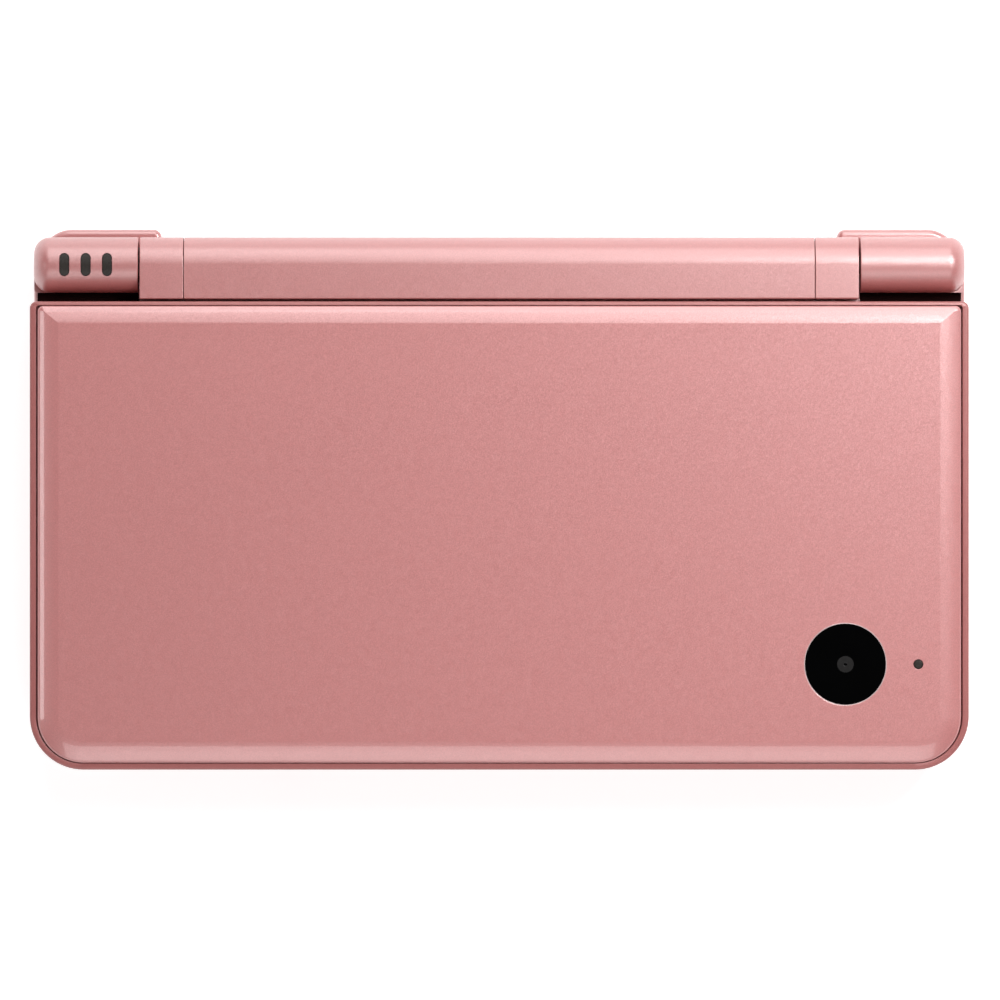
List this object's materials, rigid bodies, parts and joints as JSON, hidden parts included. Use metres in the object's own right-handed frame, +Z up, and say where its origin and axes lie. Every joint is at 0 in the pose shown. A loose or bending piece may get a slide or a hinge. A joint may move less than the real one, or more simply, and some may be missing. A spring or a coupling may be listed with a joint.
{
  "type": "clamshell handheld game console",
  "caption": "Closed clamshell handheld game console with a hinged lid, two screens, thumb controls, shoulder buttons, cameras and a stylus.",
  "frame": {"origin": "under the middle of the closed console, on the surface its feet rest on", "axes": "+X along the hinge, to the right in use; +Y towards the hinge at the back; +Z up"},
  "size_m": [0.161, 0.0928, 0.0212],
  "materials": {
    "rose_metallic_cover": "glossy clear-coated metallic rose paint",
    "rose_satin_frame": "satin metallic rose paint",
    "rose_satin_barrel": "satin metallic rose paint",
    "rose_satin_base": "satin metallic rose paint",
    "rose_keys": "moulded rose plastic with a light gloss",
    "screen_glass": "dark polished window",
    "camera_glass": "black polished glass",
    "smoked_lights": "smoked translucent light pipe, unlit",
    "black_plastic": "black moulded plastic",
    "stylus_plastic": "rose moulded plastic",
    "rubber": "dull grey-rose rubber",
    "steel": "plain steel",
    "circuit_board": "green board",
    "battery_wrap": "grey wrapped cell"
  },
  "bodies": {
    "base": {"base_top_shell": "rose_satin_base", "base_bottom_shell": "rose_satin_base", "battery_cover": "rose_satin_base", "battery_screw_left": "steel", "battery_screw_right": "steel", "battery": "battery_wrap", "main_board": "circuit_board", "key_mat_left": "rubber", "key_mat_right": "rubber", "touch_window": "screen_glass", "lower_display": "black_plastic", "hinge_pin": "steel", "hinge_tube": "steel", "shoulder_pin_left": "steel", "shoulder_pin_right": "steel", "card_socket": "black_plastic", "sd_socket": "black_plastic", "charging_port": "black_plastic", "audio_jack": "black_plastic", "status_light_power": "smoked_lights", "status_light_charge": "smoked_lights", "status_light_wireless": "smoked_lights", "foot_front_left": "rubber", "foot_front_right": "rubber", "foot_back_left": "rubber", "foot_back_right": "rubber"},
    "lid": {"lid_frame": "rose_satin_frame", "lid_cover": "rose_metallic_cover", "barrel_cover": "rose_satin_barrel", "barrel_collar_left": "rose_satin_barrel", "barrel_collar_right": "rose_satin_barrel", "upper_window": "screen_glass", "upper_display": "black_plastic", "speaker_left": "black_plastic", "speaker_right": "black_plastic", "outer_camera_window": "camera_glass", "outer_camera_lens": "black_plastic", "outer_camera_light": "smoked_lights", "inner_camera": "camera_glass", "microphone": "black_plastic", "lid_magnet": "steel", "lid_bumper_front_left": "rubber", "lid_bumper_front_right": "rubber", "lid_bumper_back_left": "rubber", "lid_bumper_back_right": "rubber", "hinge_cartridge": "steel"},
    "direction_pad_pivot": {"direction_pad_pivot": "black_plastic"},
    "direction_pad": {"direction_pad": "rose_keys"},
    "action_key_right": {"action_key_right": "rose_keys"},
    "action_key_bottom": {"action_key_bottom": "rose_keys"},
    "action_key_top": {"action_key_top": "rose_keys"},
    "action_key_left": {"action_key_left": "rose_keys"},
    "start_button": {"start_button": "rose_keys"},
    "select_button": {"select_button": "rose_keys"},
    "power_button": {"power_button": "rose_keys"},
    "shoulder_button_left": {"shoulder_button_left": "rose_keys"},
    "shoulder_button_right": {"shoulder_button_right": "rose_keys"},
    "volume_rocker": {"volume_rocker": "rose_keys"},
    "sd_cover": {"sd_cover": "rose_keys"},
    "stylus": {"stylus": "stylus_plastic"}
  },
  "joints": [
    {"name": "lid_hinge", "type": "hinge", "parent": "base", "child": "lid", "pos_m": [0, 0.0402, 0.0142], "axis": [-1, 0, 0], "range_deg": [0, 155]},
    {"name": "direction_pad_tilt_x", "type": "hinge", "parent": "base", "child": "direction_pad_pivot", "pos_m": [-0.063, 0.002, 0.009], "axis": [1, 0, 0], "range_deg": [-2.5, 2.5], "stiffness_Nm_per_rad": 0.3},
    {"name": "direction_pad_tilt_y", "type": "hinge", "parent": "direction_pad_pivot", "child": "direction_pad", "pos_m": [-0.063, 0.002, 0.009], "axis": [0, 1, 0], "range_deg": [-2.5, 2.5], "stiffness_Nm_per_rad": 0.3},
    {"name": "action_key_right_press", "type": "slide", "parent": "base", "child": "action_key_right", "axis": [0, 0, -1], "range_m": [0, 0.001], "stiffness_N_per_m": 500},
    {"name": "action_key_bottom_press", "type": "slide", "parent": "base", "child": "action_key_bottom", "axis": [0, 0, -1], "range_m": [0, 0.001], "stiffness_N_per_m": 500},
    {"name": "action_key_top_press", "type": "slide", "parent": "base", "child": "action_key_top", "axis": [0, 0, -1], "range_m": [0, 0.001], "stiffness_N_per_m": 500},
    {"name": "action_key_left_press", "type": "slide", "parent": "base", "child": "action_key_left", "axis": [0, 0, -1], "range_m": [0, 0.001], "stiffness_N_per_m": 500},
    {"name": "start_button_press", "type": "slide", "parent": "base", "child": "start_button", "axis": [0, 0, -1], "range_m": [0, 0.0006], "stiffness_N_per_m": 500},
    {"name": "select_button_press", "type": "slide", "parent": "base", "child": "select_button", "axis": [0, 0, -1], "range_m": [0, 0.0006], "stiffness_N_per_m": 500},
    {"name": "power_button_press", "type": "slide", "parent": "base", "child": "power_button", "axis": [0, 0, -1], "range_m": [0, 0.0006], "stiffness_N_per_m": 500},
    {"name": "shoulder_button_left_press", "type": "hinge", "parent": "base", "child": "shoulder_button_left", "pos_m": [-0.0605, 0.0402, 0.005], "axis": [0, 0, 1], "range_deg": [0, 4], "stiffness_Nm_per_rad": 0.4},
    {"name": "shoulder_button_right_press", "type": "hinge", "parent": "base", "child": "shoulder_button_right", "pos_m": [0.0605, 0.0402, 0.005], "axis": [0, 0, -1], "range_deg": [0, 4], "stiffness_Nm_per_rad": 0.4},
    {"name": "volume_rock", "type": "hinge", "parent": "base", "child": "volume_rocker", "pos_m": [-0.0775, 0.0172, 0.0087], "axis": [0, 0, 1], "range_deg": [-3, 3], "stiffness_Nm_per_rad": 0.3},
    {"name": "sd_cover_hinge", "type": "hinge", "parent": "base", "child": "sd_cover", "pos_m": [0.0793, 0.005, 0.0035], "axis": [0, 1, 0], "range_deg": [0, 95]},
    {"name": "stylus_draw", "type": "slide", "parent": "base", "child": "stylus", "axis": [1, 0, 0], "range_m": [0, 0.098]}
  ]
}
